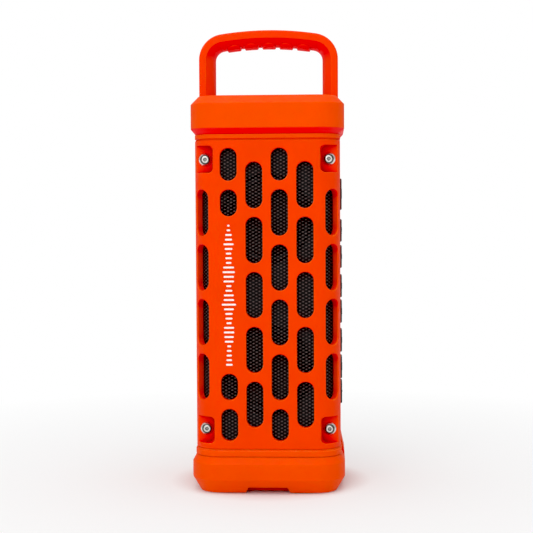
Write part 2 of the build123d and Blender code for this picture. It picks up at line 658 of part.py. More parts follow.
flange_face, flange_rear = -36.7, -35.2
for name, z in driver_heights.items():
    across = Plane.XY.offset(z)
    driver_axis = Axis((0, 0, z), (0, 1, 0))

    with BuildPart() as basket:
        with BuildSketch(across):
            Polygon((28.6, flange_face), (34.6, flange_face), (34.6, flange_rear), (30.0, flange_rear),
                    (20.0, -24.0), (12.0, -24.0), (12.0, -25.2), (19.2, -25.2), (28.6, -34.8), align=None)
        revolve(axis=driver_axis)
        for turn in (0, 90):
            with Locations(Location((0, -29.8, z), (0, turn, 0))):
                Cylinder(4.2, 80, mode=Mode.SUBTRACT)
        for x, rise in driver_screw_places:
            bar(x, z + rise, driver_screw_radius, -cavity_front, flange_rear, mode=Mode.SUBTRACT)
    save(basket, f"{name}_basket")

    with BuildPart() as surround:
        with BuildSketch(across):
            with Locations((26.5, -37.1)):
                Circle(2.9)
                Circle(2.2, mode=Mode.SUBTRACT)
            with Locations((26.5, -35.1)):
                Rectangle(8, 4, mode=Mode.SUBTRACT)
            Polygon((28.7, -37.5), (34.6, -37.5), (34.6, flange_face), (28.7, flange_face), align=None)
            Polygon((23.5, -37.5), (24.3, -37.5), (24.3, flange_face), (23.5, flange_face), align=None)
        revolve(axis=driver_axis)
        for x, rise in driver_screw_places:
            bar(x, z + rise, driver_screw_radius, -cavity_front, flange_rear, mode=Mode.SUBTRACT)
    save(surround, f"{name}_surround")

    with BuildPart() as cone:
        with BuildSketch(across):
            Polygon((23.2, -37.6), (23.2, -36.6), (9.3, -28.0), (9.3, -19.0), (8.8, -19.0), (8.8, -29.2),
                    (22.0, -37.6), align=None)
        revolve(axis=driver_axis)
        with BuildSketch(across):
            with Locations((0, -12.4)):
                Circle(20)
                Circle(19.3, mode=Mode.SUBTRACT)
            with Locations((4.8, -32)):
                Rectangle(9.6, 7.2, mode=Mode.INTERSECT)
        revolve(axis=driver_axis)
    save(cone, f"{name}_cone")

    with BuildPart() as voice_coil:
        ring(9.9, 9.3, -23.4, -19.8, z)
    save(voice_coil, f"{name}_voice_coil")

with BuildPart() as driver_spiders:
    for z in driver_heights.values():
        ring(18.6, 10.2, -25.8, -25.2, z)
save(driver_spiders, "driver_spiders")

with BuildPart() as driver_magnets:
    for z in driver_heights.values():
        ring(17.4, 11.4, -21.6, -15.0, z)
save(driver_magnets, "driver_magnets")

with BuildPart() as driver_yokes:
    for z in driver_heights.values():
        ring(17.0, 10.7, -24.0, -21.6, z)
        bar(0, z, 17.0, -15.0, -12.4)
        bar(0, z, 8.3, -24.0, -15.0)
save(driver_yokes, "driver_yokes")

with BuildPart() as driver_screws:
    for z in driver_heights.values():
        for x, rise in driver_screw_places:
            bar(x, z + rise, driver_screw_radius, driver_screw_tip, flange_rear)
            bar(x, z + rise, driver_screw_head, flange_rear, flange_rear + 1.6)
save(driver_screws, "driver_screws")

# ================================ Passive radiator in the rear wall =============================


def racetrack(length, width, low, high, mode=Mode.ADD):
    """A plate with straight sides and round ends, standing upright between two depths."""
    with BuildSketch(Plane.XZ.offset(-low)) as outline:
        with Locations((0, grille_mid)):
            SlotOverall(length, width, rotation=90)
    extrude(outline.sketch, amount=low - high, mode=mode)


with BuildPart() as passive_frame:
    racetrack(118, 74, 35.2, 36.7)
    racetrack(104, 60, 35.2, 36.7, mode=Mode.SUBTRACT)
save(passive_frame, "passive_frame")

with BuildPart() as passive_surround:
    racetrack(105.4, 61.4, 36.7, 39.6)
    fillet(passive_surround.faces().sort_by(Axis.Y)[-1].edges(), radius=2.4)
    racetrack(118, 74, 36.7, 37.5)
    racetrack(94, 50, 36.7, 40, mode=Mode.SUBTRACT)
save(passive_surround, "passive_surround")

with BuildPart() as passive_plate:
    racetrack(93.2, 49.2, 36.9, 38.4)
    racetrack(66, 26, 38.4, 40.0)
save(passive_plate, "passive_plate")

# ================================ Battery and electronics =======================================

cell_places = [(x * 19.0, cell_y) for x in (-1.5, -0.5, 0.5, 1.5)]
cell_high = cell_low + cell_length
holder_half = 38.4

with BuildPart() as battery_cells:
    for x, y in cell_places:
        column(x, y, cell_radius, cell_low, cell_high)
        column(x, y, 3.2, cell_high, cell_high + 1.0)
save(battery_cells, "battery_cells")

with BuildPart() as battery_holder:
    for low, high in ((cell_low - 3, cell_low + 4), (cell_high - 4, cell_high + 3)):
        block((-holder_half, 7, low), (holder_half, 27, high))
    block((-holder_half, 25, cell_low - 3), (holder_half, 27, cell_high + 3))
    for x, y in cell_places:
        column(x, y, cell_radius + 0.05, cell_low, cell_high, mode=Mode.SUBTRACT)
        column(x, y, 3.3, cell_high, cell_high + 1.1, mode=Mode.SUBTRACT)
save(battery_holder, "battery_holder")

with BuildPart() as main_board:
    block((-39.6, rail_y, rail_low + 1), (39.6, rail_y + board_thickness, rail_high - 1))
    block((-30, rail_y - 4, 130), (-16, rail_y, 137))
    block((16, rail_y - 4, 130), (30, rail_y, 137))
save(main_board, "main_board")

with BuildPart() as shield_can:
    block((-28, rail_y - 3, 178), (-4, rail_y, 206))
save(shield_can, "shield_can")

with BuildPart() as capacitors:
    for x, z in ((12, 204), (26, 204), (26, 190), (12, 190)):
        bar(x, z, 4.0, rail_y - 9, rail_y)
save(capacitors, "capacitors")

with BuildPart() as heat_sink:
    back = rail_y + board_thickness
    block((-18, back, 140), (18, back + 2, 172))
    for step in range(7):
        block((-18 + 5.7 * step, back + 2, 140), (-16.2 + 5.7 * step, back + 10, 172))
save(heat_sink, "heat_sink")


def lead(points, bends, radius):
    """A wire that follows straight runs joined by tangent arcs."""
    with BuildPart() as wire:
        with BuildLine() as route:
            FilletPolyline(*points, radius=bends)
        start = route.line @ 0
        with BuildSketch(Plane(start, z_dir=route.line % 0)) as section:
            Circle(radius)
        sweep(section.sketch, path=route.line)
    return wire.part


with BuildPart() as speaker_leads:
    for z, side in ((driver_heights["upper"], 1), (driver_heights["lower"], -1)):
        board_z = 133.5
        terminal_x, back_x = 20 * side + 2, 20 * side
        route = [(terminal_x, rail_y - 4, board_z), (terminal_x, 2, board_z),
                 (back_x, -4, board_z + 8 * side), (back_x, -4, z)]
        add(lead(route, 3.4, 0.9))
save(speaker_leads, "speaker_leads")
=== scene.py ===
"""Looks, meshes, stage and camera for a rugged portable wireless speaker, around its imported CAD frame.

Metres. The front faces -Y, the keys face +X and +Z is up, as in the CAD model.
"""

import math

import bmesh
import bpy
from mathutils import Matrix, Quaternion, Vector


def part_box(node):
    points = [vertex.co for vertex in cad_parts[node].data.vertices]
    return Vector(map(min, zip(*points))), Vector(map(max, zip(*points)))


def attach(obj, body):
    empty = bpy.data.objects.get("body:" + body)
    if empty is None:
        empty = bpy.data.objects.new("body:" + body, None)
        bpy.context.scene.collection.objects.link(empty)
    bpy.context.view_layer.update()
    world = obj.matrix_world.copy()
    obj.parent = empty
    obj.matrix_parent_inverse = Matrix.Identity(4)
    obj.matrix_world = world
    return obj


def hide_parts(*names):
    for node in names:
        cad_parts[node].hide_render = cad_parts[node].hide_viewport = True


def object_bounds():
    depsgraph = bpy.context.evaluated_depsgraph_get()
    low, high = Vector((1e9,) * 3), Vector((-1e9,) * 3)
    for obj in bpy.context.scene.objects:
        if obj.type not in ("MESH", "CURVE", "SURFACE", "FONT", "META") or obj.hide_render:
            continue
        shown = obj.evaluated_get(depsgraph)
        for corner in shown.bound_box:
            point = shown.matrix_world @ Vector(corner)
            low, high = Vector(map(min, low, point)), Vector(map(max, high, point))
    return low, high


MM = 0.001

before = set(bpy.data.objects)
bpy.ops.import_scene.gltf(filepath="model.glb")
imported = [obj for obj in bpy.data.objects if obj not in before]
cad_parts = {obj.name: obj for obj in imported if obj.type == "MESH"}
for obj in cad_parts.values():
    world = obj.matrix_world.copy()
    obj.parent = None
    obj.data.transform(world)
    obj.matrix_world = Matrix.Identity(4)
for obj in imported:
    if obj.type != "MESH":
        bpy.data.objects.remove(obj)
cad_low, cad_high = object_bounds()
grille_low, grille_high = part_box("front_grille")
mesh_low, mesh_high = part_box("front_mesh")
grille_mid = (grille_low.z + grille_high.z) / 2


def srgb(red, green, blue):
    """A colour given as 0 to 255 in sRGB, as linear RGBA."""
    values = [channel / 255 for channel in (red, green, blue)]
    linear = [v / 12.92 if v <= 0.04045 else ((v + 0.055) / 1.055) ** 2.4 for v in values]
    return (*linear, 1.0)


# ---- Materials ---------------------------------------------------------------------------------

ORANGE, CAP_ORANGE, GRIP_ORANGE = srgb(243, 64, 1), srgb(243, 77, 1), srgb(243, 60, 2)
# CRIMSON and MAROON below are painted shade and APRICOT a painted highlight; CRIMSON also colours random
# specks.
CRIMSON, MAROON, APRICOT = srgb(238, 2, 16), srgb(112, 2, 18), srgb(252, 128, 44)


class Look:
    """A procedural material: a Principled shader and short calls that build the nodes behind it."""

    def __init__(self, name, **sockets):
        self.material = bpy.data.materials.new(name)
        self.material.use_nodes = True
        self.tree = self.material.node_tree
        self.shader = self.tree.nodes["Principled BSDF"]
        self.place = self.add("ShaderNodeTexCoord").outputs["Object"]
        for socket, value in sockets.items():
            self.shader.inputs[socket.replace("_", " ")].default_value = value

    def add(self, kind, inputs=(), **settings):
        """A new node. inputs gives its sockets by name, as values or as the sockets that feed them."""
        node = self.tree.nodes.new(kind)
        for setting, value in settings.items():
            setattr(node, setting, value)
        for socket, value in dict(inputs).items():
            self.feed(node.inputs[socket], value)
        return node

    def feed(self, socket, value):
        if isinstance(value, bpy.types.NodeSocket):
            self.tree.links.new(value, socket)
        else:
            socket.default_value = value

    def stretched(self, stretch):
        """Object coordinates, scaled along each axis."""
        return self.add("ShaderNodeMapping", {"Vector": self.place, "Scale": stretch}).outputs["Vector"]

    def noise(self, size, detail=2.0, stretch=(1, 1, 1)):
        """Noise from 0 to 1 whose features are about size metres across."""
        inputs = {"Vector": self.stretched(stretch), "Scale": 1 / size, "Detail": detail}
        return self.add("ShaderNodeTexNoise", inputs).outputs["Fac"]

    def cells(self, size, feature="F1"):
        """Distance to cell centres, or to cell edges, in a cell pattern of that size."""
        inputs = {"Vector": self.place, "Scale": 1 / size}
        return self.add("ShaderNodeTexVoronoi", inputs, feature=feature).outputs["Distance"]

    def span(self, value, low, high, to_low=0.0, to_high=1.0):
        """value moved from one range to another, and clamped."""
        inputs = {"Value": value, "From Min": low, "From Max": high, "To Min": to_low, "To Max": to_high}
        return self.add("ShaderNodeMapRange", inputs).outputs["Result"]

    def sums(self, operation, first, second):
        """Two numbers put together by a Math node."""
        node = self.add("ShaderNodeMath", operation=operation)
        self.feed(node.inputs[0], first)
        self.feed(node.inputs[1], second)
        return node.outputs["Value"]

    def mix(self, factor, first, second):
        """Two colours mixed."""
        node = self.add("ShaderNodeMix", data_type="RGBA")
        colours = [socket for socket in node.inputs if socket.type == "RGBA"]
        self.feed(node.inputs["Factor"], factor)
        self.feed(colours[0], first)
        self.feed(colours[1], second)
        return next(socket for socket in node.outputs if socket.type == "RGBA")

    def bump(self, height, depth, under=None):
        """A normal pressed in or out by height times depth metres, on top of an earlier normal."""
        node = self.add("ShaderNodeBump", {"Height": height, "Distance": depth, "Strength": 1.0})
        if under is not None:
            self.feed(node.inputs["Normal"], under)
        return node.outputs["Normal"]

    def finish(self, colour=None, roughness=None, normal=None):
        """Joins the colour, roughness and normal to the shader."""
        for socket, value in (("Base Color", colour), ("Roughness", roughness), ("Normal", normal)):
            if value is not None:
                self.feed(self.shader.inputs[socket], value)
        return self.material


# Painted shade in the moulded rubber: where enclosed surfaces turn crimson and maroon, and how crimson
# downward surfaces turn.
SHELTERED = (0.58, 0.99)      # open sky between fully crimson and not at all
HIDDEN = (0.2, 0.58)          # and between maroon and not at all
UNDERSIDE = 0.95              # how crimson the surfaces that face down are, well above the floor


def moulded_rubber(name, face, grain=0.35 * MM, rough=(0.46, 0.6)):
    """Saturated moulded rubber, finely grained, with painted shade and a painted highlight: crimson and
    maroon in crevices and crimson on surfaces facing down, paler on edges facing up.
    """
    look = Look(name, Specular_IOR_Level=0.13, Subsurface_Weight=0.25, Subsurface_Scale=2.5 * MM)
    look.shader.inputs["Subsurface Radius"].default_value = (1.0, 0.08, 0.02)
    rounded = look.add("ShaderNodeBevel", {"Radius": 0.5 * MM}, samples=4).outputs["Normal"]
    flat = look.add("ShaderNodeNewGeometry").outputs["Normal"]
    turn = look.add("ShaderNodeVectorMath", operation="DOT_PRODUCT")
    look.feed(turn.inputs[0], rounded)
    look.feed(turn.inputs[1], flat)
    up = look.add("ShaderNodeSeparateXYZ", {"Vector": rounded}).outputs["Z"]
    height = look.add("ShaderNodeSeparateXYZ", {"Vector": look.place}).outputs["Z"]
    shelter = look.add("ShaderNodeAmbientOcclusion", {"Distance": 11 * MM}, samples=8, only_local=True)
    open_share = shelter.outputs["AO"]
    # Painted highlight: edges turn paler apricot, most where they face up and lie open, unevenly along them.
    edge = look.sums("MULTIPLY", look.span(turn.outputs["Value"], 0.998, 0.96),
                     look.span(open_share, 0.5, 0.8))
    painted_highlight = look.sums("MULTIPLY", edge, look.span(look.noise(6 * MM, 4), 0.35, 0.65, 0.5, 0.95))
    painted_highlight = look.sums("MULTIPLY", painted_highlight, look.span(up, -0.35, 0.3, 0.15, 1.0))
    deeper = [channel * 0.94 for channel in face[:3]] + [1.0]
    colour = look.mix(look.span(look.noise(22 * MM, 4), 0.3, 0.7), deeper, face)
    speck = look.span(look.noise(0.9 * MM, 3), 0.62, 0.74, 0.0, 0.22)
    colour = look.mix(speck, colour, CRIMSON)
    # Painted shade: crimson, then maroon, where the AO finds the rubber enclosed, and crimson on surfaces
    # that face down from 20 mm up.
    colour = look.mix(look.span(open_share, *SHELTERED, 1.0, 0.0), colour, CRIMSON)
    colour = look.mix(look.span(open_share, *HIDDEN, 0.85, 0.0), colour, MAROON)
    underside_shade = look.sums("MULTIPLY", look.span(up, 0.0, -0.35, 0.0, UNDERSIDE),
                        look.span(height, 20 * MM, 60 * MM))
    colour = look.mix(underside_shade, colour, CRIMSON)
    # Painted highlight mixed in on the edges.
    colour = look.mix(painted_highlight, colour, APRICOT)
    roughness = look.span(look.noise(4 * MM, 5), 0.3, 0.7, *rough)
    spark = look.bump(look.noise(grain, 3), 0.035 * MM, rounded)
    return look.finish(colour, roughness, spark)


def soft_black(name, colour, grain=0.3 * MM, rough=(0.5, 0.68), dust=0.25):
    """Dark silicone, rubber or moulded plastic with a fine grain and a trace of dust."""
    look = Look(name, Specular_IOR_Level=0.4)
    pale = [channel * 1.9 + 0.006 for channel in colour[:3]] + [1.0]
    body = look.mix(look.span(look.noise(9 * MM, 5), 0.3, 0.75, 0.0, dust), colour, pale)
    body = look.mix(look.span(look.noise(1.1 * MM, 2), 0.6, 0.75, 0.0, dust), body, pale)
    rounded = look.add("ShaderNodeBevel", {"Radius": 0.25 * MM}, samples=4).outputs["Normal"]
    return look.finish(body, look.span(look.noise(3 * MM, 4), 0.3, 0.7, *rough),
                       look.bump(look.noise(grain, 2), 0.02 * MM, rounded))


def metal(name, colour, rough=(0.2, 0.34), stretch=(1, 1, 1), tint=None, metallic=1.0):
    """Bare or plated metal with drawn or turned marks along its stretched axis."""
    look = Look(name, Metallic=metallic)
    marks = look.noise(0.5 * MM, 3, stretch)
    stain = look.span(look.noise(5 * MM, 4), 0.35, 0.7)
    second = tint or [channel * 0.72 for channel in colour[:3]] + [1.0]
    return look.finish(look.mix(look.sums("MULTIPLY", stain, 0.55), colour, second),
                       look.span(marks, 0.3, 0.7, *rough), look.bump(marks, 0.012 * MM))


def turned_steel(name):
    """Stainless screws: turning rings, a darker band round each dome that is a painted dark reflection, and
    painted shade low in the socket.
    """
    look = Look(name, Metallic=1.0)
    shelter = look.add("ShaderNodeAmbientOcclusion", {"Distance": 2.5 * MM}, samples=8, only_local=True)
    normal = look.add("ShaderNodeNewGeometry").outputs["Normal"]
    facing = look.add("ShaderNodeSeparateXYZ", {"Vector": normal})
    slope = look.sums("ABSOLUTE", facing.outputs["Y"], 0.0)
    rings = look.noise(0.25 * MM, 2)
    bright, band, socket_shade = srgb(226, 222, 216), srgb(88, 82, 80), srgb(64, 56, 52)
    # Painted dark reflection: a darker band where the dome slopes part way round.
    ring = look.sums("MULTIPLY", look.span(slope, 0.78, 0.86), look.span(slope, 0.95, 0.98, 1.0, 0.0))
    colour = look.mix(ring, bright, band)
    # Painted shade: darker where the AO finds the socket enclosed.
    colour = look.mix(look.span(shelter.outputs["AO"], 0.25, 0.8, 1.0, 0.0), colour, socket_shade)
    return look.finish(colour, look.span(rings, 0.3, 0.7, 0.2, 0.36), look.bump(rings, 0.01 * MM))


def painted_mesh(name):
    """Black coat on the expanded steel, with a painted highlight in grey on the raised knuckles of its
    lattice.
    """
    look = Look(name, Specular_IOR_Level=0.35)
    steps = look.add("ShaderNodeSeparateXYZ", {"Vector": look.add("ShaderNodeUVMap").outputs["UV"]})
    waves = [look.sums("COSINE", look.sums("MULTIPLY", steps.outputs[axis], math.pi), 0.0) for axis in "XY"]
    # Painted highlight: the knuckles turn light grey, unevenly.
    knuckle = look.span(look.sums("MULTIPLY", *waves), 0.3, 0.85)
    coat, knuckle_highlight = srgb(11, 8, 8), srgb(118, 106, 103)
    painted_highlight = look.sums("MULTIPLY", knuckle, look.span(look.noise(2.4 * MM, 4), 0.25, 0.7, 0.35, 1.0))
    colour = look.mix(painted_highlight, coat, knuckle_highlight)
    return look.finish(colour, look.span(look.noise(1.2 * MM, 3), 0.3, 0.7, 0.42, 0.55),
                       look.bump(look.noise(0.2 * MM, 3), 0.02 * MM))


def printed_ink(name):
    """White print: nearly flat ink, a little uneven where it was pressed on."""
    look = Look(name, Specular_IOR_Level=0.35)
    ink = look.mix(look.span(look.noise(1.3 * MM, 4), 0.35, 0.7), srgb(252, 247, 244), srgb(243, 228, 222))
    return look.finish(ink, look.span(look.noise(0.8 * MM, 3), 0.3, 0.7, 0.4, 0.55),
                       look.bump(look.noise(0.25 * MM, 2), 0.01 * MM))


def circuit(name):
    """A green board with tracks, from cell edges under a solder mask."""
    look = Look(name, Coat_Weight=0.4, Coat_Roughness=0.25)
    track = look.span(look.cells(3.2 * MM, "DISTANCE_TO_EDGE"), 0.05, 0.09, 1.0, 0.0)
    dot = look.span(look.cells(2.1 * MM), 0.16, 0.2, 1.0, 0.0)
    colour = look.mix(track, srgb(10, 62, 38), srgb(28, 104, 62))
    colour = look.mix(dot, colour, srgb(196, 172, 108))
    return look.finish(colour, look.span(look.noise(2 * MM), 0.3, 0.7, 0.35, 0.5),
                       look.bump(look.sums("ADD", track, dot), 0.04 * MM))


def woven(name, warp, weft, pitch):
    """Woven or pressed fibre: two crossed thread waves."""
    look = Look(name, Sheen_Weight=0.3)
    bands = [look.add("ShaderNodeTexWave", {"Vector": look.place, "Scale": 1 / pitch / math.tau,
                                            "Distortion": 1.2, "Detail": 1.0}, bands_direction=axis)
             for axis in ("X", "Z")]
    weave = look.sums("MULTIPLY", *(band.outputs["Fac"] for band in bands))
    colour = look.mix(weave, warp, weft)
    return look.finish(colour, look.span(look.noise(1 * MM, 4), 0.3, 0.7, 0.75, 0.92),
                       look.bump(weave, 0.08 * MM))


def light_pipe(name):
    """Frosted charge lights: a faint inner glow, brighter at the middle of each cell of frost."""
    look = Look(name, Emission_Strength=0.6)
    frost = look.span(look.cells(0.5 * MM), 0.1, 0.7, 1.0, 0.3)
    glow = look.mix(frost, srgb(168, 205, 190), srgb(236, 255, 246))
    look.feed(look.shader.inputs["Emission Color"], glow)
    return look.finish(glow, look.span(look.noise(0.6 * MM), 0.3, 0.7, 0.3, 0.5),
                       look.bump(frost, 0.02 * MM))


looks = {
    "shell_orange": moulded_rubber("look_shell", ORANGE),
    "bumper_orange": moulded_rubber("look_bumper", CAP_ORANGE, 0.5 * MM, (0.5, 0.64)),
    "handle_orange": moulded_rubber("look_handle", GRIP_ORANGE, 0.4 * MM, (0.5, 0.64)),
    "door_orange": moulded_rubber("look_door", ORANGE, 0.4 * MM),
    "mesh_steel": painted_mesh("look_mesh"),
    "core_black": soft_black("look_core", srgb(11, 10, 11)),
    "key_rubber": soft_black("look_keys", srgb(40, 40, 43), 0.2 * MM, (0.55, 0.72)),
    "membrane_silicone": soft_black("look_membrane", srgb(52, 52, 55), 0.4 * MM),
    "pad_rubber": soft_black("look_pad", srgb(44, 40, 40), 0.6 * MM, (0.7, 0.85), 0.6),
    "surround_rubber": soft_black("look_surround", srgb(20, 20, 21), 0.3 * MM, (0.35, 0.5)),
    "screw_stainless": turned_steel("look_stainless"),
    "screw_steel": metal("look_screw_steel", srgb(170, 168, 160), (0.25, 0.42)),
    "circuit_board": circuit("look_board"),
    "tin_plate": metal("look_tin", srgb(196, 196, 190), (0.22, 0.4)),
    "jack_black": soft_black("look_jack", srgb(18, 18, 19), 0.25 * MM, (0.3, 0.45), 0.1),
    "capacitor_can": metal("look_capacitor", srgb(60, 66, 82), (0.3, 0.42), metallic=0.4),
    "heat_sink": metal("look_heat_sink", srgb(120, 122, 126), (0.35, 0.5), (1, 1, 0.05)),
    "cell_wrap": metal("look_cells", srgb(32, 92, 150), (0.28, 0.4), (1, 1, 0.1), metallic=0.0),
    "basket_black": metal("look_basket", srgb(34, 34, 36), (0.42, 0.6), metallic=0.1),
    "cone_paper": woven("look_cone", srgb(34, 32, 31), srgb(66, 62, 58), 0.6 * MM),
    "spider_cloth": woven("look_spider", srgb(150, 116, 62), srgb(194, 158, 96), 0.9 * MM),
    "coil_copper": metal("look_copper", srgb(196, 116, 70), (0.25, 0.4), (1, 8, 1)),
    "magnet_ferrite": metal("look_ferrite", srgb(46, 45, 46), (0.55, 0.75), metallic=0.0),
    "yoke_steel": metal("look_yoke", srgb(188, 184, 160), (0.28, 0.45), tint=srgb(150, 140, 96)),
    "passive_alloy": metal("look_passive", srgb(150, 150, 152), (0.3, 0.42), (1, 1, 0.06)),
    "light_pipe": light_pipe("look_light"),
    "lead_sleeve": soft_black("look_leads", srgb(120, 18, 16), 0.5 * MM, (0.4, 0.55), 0.1),
    "print_white": printed_ink("look_print"),
}

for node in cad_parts.values():
    for material_slot in node.material_slots:
        material_slot.material = looks[material_slot.material.name]


# ---- Expanded metal behind the grilles -----------------------------------------------------------

LONG_WAY, SHORT_WAY = 4.1 * MM, 2.3 * MM      # one diamond's diagonals
HOLE_SHARE = 0.74                             # how much of each diagonal the hole takes up
KNUCKLE_RISE, STRAND_TILT = 0.14 * MM, 0.2 * MM
mesh_half = mesh_high.x
mesh_depth = 0.34 * MM
mesh_skin = mesh_half - KNUCKLE_RISE - mesh_depth / 2   # the middle of the sheet
GRILLE_CORNER = 16.4 * MM
mesh_corner = mesh_skin - (grille_high.x - GRILLE_CORNER)
screw_low, screw_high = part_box("grille_screws")
pocket_rise = (screw_high.z - screw_low.z) / 2 - 4 * MM   # less about a head's radius
POCKET_HALF, POCKET_START, POCKET_BACK = 11.3 * MM, 32.3 * MM, 23.6 * MM
mesh_straight = -mesh_low.y - (mesh_half - mesh_skin) - mesh_corner + mesh_high.y
mesh_turn = math.pi / 2 * mesh_corner
mesh_length = 2 * mesh_straight + math.pi * mesh_corner + 2 * (mesh_skin - mesh_corner)


def mesh_path(distance):
    """The point and outward direction at a distance along the sheet's U, from its left edge."""
    centre = mesh_skin - mesh_corner
    front = 2 * centre
    if distance < mesh_straight:
        return Vector((-mesh_skin, mesh_high.y - distance, 0)), Vector((-1, 0, 0))
    distance -= mesh_straight
    if distance < mesh_turn:
        angle = distance / mesh_corner
        out = Vector((-math.cos(angle), -math.sin(angle), 0))
        return Vector((-centre, -centre, 0)) + out * mesh_corner, out
    distance -= mesh_turn
    if distance < front:
        return Vector((-centre + distance, -mesh_skin, 0)), Vector((0, -1, 0))
    distance -= front
    if distance < mesh_turn:
        angle = distance / mesh_corner
        out = Vector((math.sin(angle), -math.cos(angle), 0))
        return Vector((centre, -centre, 0)) + out * mesh_corner, out
    return Vector((mesh_skin, -centre + distance - mesh_turn, 0)), Vector((1, 0, 0))


def in_pocket(point, height):
    """Whether a diamond would lie in one of the corner openings for the grille's screws."""
    near_screw = abs(abs(height - grille_mid) - pocket_rise) < POCKET_HALF
    return near_screw and abs(point.x) > POCKET_START and point.y < -POCKET_BACK


def expanded_metal(name, node, facing):
    """A sheet of staggered diamonds bent round a grille's inside; facing is 1 in front and -1 behind."""
    points, faces, lattice, shared = [], [], [], {}

    def corner(column, row):
        """The knuckle at a half-step of the lattice, made once and shared by its diamonds."""
        if (column, row) not in shared:
            place, out = mesh_path(start_along + column * LONG_WAY / 2)
            shared[column, row] = len(points)
            points.append(place + out * KNUCKLE_RISE + Vector((0, 0, start_height + row * SHORT_WAY / 2)))
            lattice.append((column, row))
        return shared[column, row]

    columns = int(mesh_length / LONG_WAY * 2) - 2
    rows = int((mesh_high.z - mesh_low.z) / SHORT_WAY * 2) - 2
    start_along = (mesh_length - columns * LONG_WAY / 2) / 2
    start_height = (mesh_high.z + mesh_low.z - rows * SHORT_WAY / 2) / 2
    steps = ((1, 0), (0, 1), (-1, 0), (0, -1))
    for row in range(1, rows):
        for column in range(1 + row % 2, columns, 2):
            height = start_height + row * SHORT_WAY / 2
            middle, out = mesh_path(start_along + column * LONG_WAY / 2)
            if in_pocket(middle, height):
                continue
            outer = [corner(column + across, row + up) for across, up in steps]
            inner = []
            for across, up in steps:
                place, out = mesh_path(start_along + (column + across * HOLE_SHARE) * LONG_WAY / 2)
                inner.append(len(points))
                lift = Vector((0, 0, height + up * HOLE_SHARE * SHORT_WAY / 2))
                points.append(place + lift + out * up * STRAND_TILT)
                lattice.append((column + across * HOLE_SHARE, row + up * HOLE_SHARE))
            for k in range(4):
                after = (k + 1) % 4
                faces.append((outer[k], outer[after], inner[after], inner[k]))
    if facing < 0:
        points = [Vector((-p.x, -p.y, p.z)) for p in points]
    data = bpy.data.meshes.new(name)
    data.from_pydata(points, [], faces)
    steps_along = data.uv_layers.new(name="lattice").data
    for loop, step in zip(data.loops, steps_along):
        step.uv = lattice[loop.vertex_index]
    data.materials.append(looks["mesh_steel"])
    sheet = bpy.data.objects.new(name, data)
    bpy.context.scene.collection.objects.link(sheet)
    thickness = sheet.modifiers.new("thickness", "SOLIDIFY")
    thickness.thickness, thickness.offset = mesh_depth, 0.0
    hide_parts(node)
    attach(sheet, "housing")


expanded_metal("front_expanded_mesh", "front_mesh", 1)
expanded_metal("rear_expanded_mesh", "rear_mesh", -1)


# ---- Raised print on the grille and marks on the keys ------------------------------------------

RING_STEPS = 24


def capsule(start, end, width):
    """The outline of a straight stroke with round ends, as 2-D points."""
    start, end = Vector(start), Vector(end)
    along = (end - start).normalized() if (end - start).length else Vector((1, 0))
    side = Vector((-along.y, along.x))
    outline = []
    for centre, forward in ((end, 1), (start, -1)):
        for step in range(RING_STEPS // 2 + 1):
            angle = math.pi / 2 - math.pi * step / (RING_STEPS // 2)
            outline.append(centre + (along * math.cos(angle) + side * math.sin(angle)) * forward * width / 2)
    return outline


def raised(name, outlines, place, height, look, body):
    """Closed outlines made into low relief with a rounded rim. place maps (across, up, out) to 3-D."""
    points, faces = [], []
    for outline in outlines:
        centre = sum(outline, Vector((0, 0))) / len(outline)
        first = len(points)
        count = len(outline)
        for shrink, rise in ((0.0, -0.3), (0.0, 0.55), (0.1, 0.88), (0.26, 1.0)):
            for point in outline:
                inward = (centre - point).normalized() * min(shrink * 2 * height, (centre - point).length)
                points.append(place(point.x + inward.x, point.y + inward.y, rise * height))
        for level in range(3):
            for k in range(count):
                low, after = first + level * count, (k + 1) % count
                faces.append((low + k, low + after, low + count + after, low + count + k))
        faces.append(tuple(first + 3 * count + k for k in range(count)))
        faces.append(tuple(first + k for k in reversed(range(count))))
    data = bpy.data.meshes.new(name)
    data.from_pydata(points, [], faces)
    shape = bmesh.new()
    shape.from_mesh(data)
    bmesh.ops.recalc_face_normals(shape, faces=shape.faces)
    shape.to_mesh(data)
    shape.free()
    data.materials.append(looks[look])
    relief = bpy.data.objects.new(name, data)
    bpy.context.scene.collection.objects.link(relief)
    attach(relief, body)


STROKES, STROKE_WIDTH, STROKE_PITCH = 31, 1.2 * MM, 3.05 * MM
GRAPHIC_HALF = 4.6 * MM
graphic_x = -25.05 * MM


def level(step):
    """The length of one bar of the sound-level graphic: a slow swell with two quicker ripples."""
    place = step / (STROKES - 1)
    swell = 0.45 + 0.55 * math.sin(math.pi * place) ** 0.8
    ripple = 0.68 + 0.24 * math.cos(9.1 * math.pi * place) + 0.12 * math.cos(23.3 * math.pi * place)
    return GRAPHIC_HALF * swell * ripple


bars = []
for step in range(STROKES):
    up = (step - (STROKES - 1) / 2) * STROKE_PITCH
    reach = level(step) - STROKE_WIDTH / 2
    bars.append(capsule((-reach, up), (reach, up), STROKE_WIDTH))
raised("level_graphic", bars,
       lambda across, up, out: (graphic_x + across, grille_low.y - out, grille_mid + up),
       0.16 * MM, "print_white", "housing")

MARK_WIDTH, MARK_RISE = 0.75, 0.22 * MM


def arc(radius, start, end, centre=(0, 0)):
    """Points along an arc between two angles, in degrees."""
    steps = max(4, round(abs(end - start) / 15))
    angles = [math.radians(start + (end - start) * step / steps) for step in range(steps + 1)]
    return [(centre[0] + radius * math.cos(angle), centre[1] + radius * math.sin(angle)) for angle in angles]


def line(points):
    """One stroke of a key's mark through points given in millimetres."""
    ends = [Vector(point) * MM for point in points]
    return [capsule(start, end, MARK_WIDTH * MM) for start, end in zip(ends, ends[1:])]


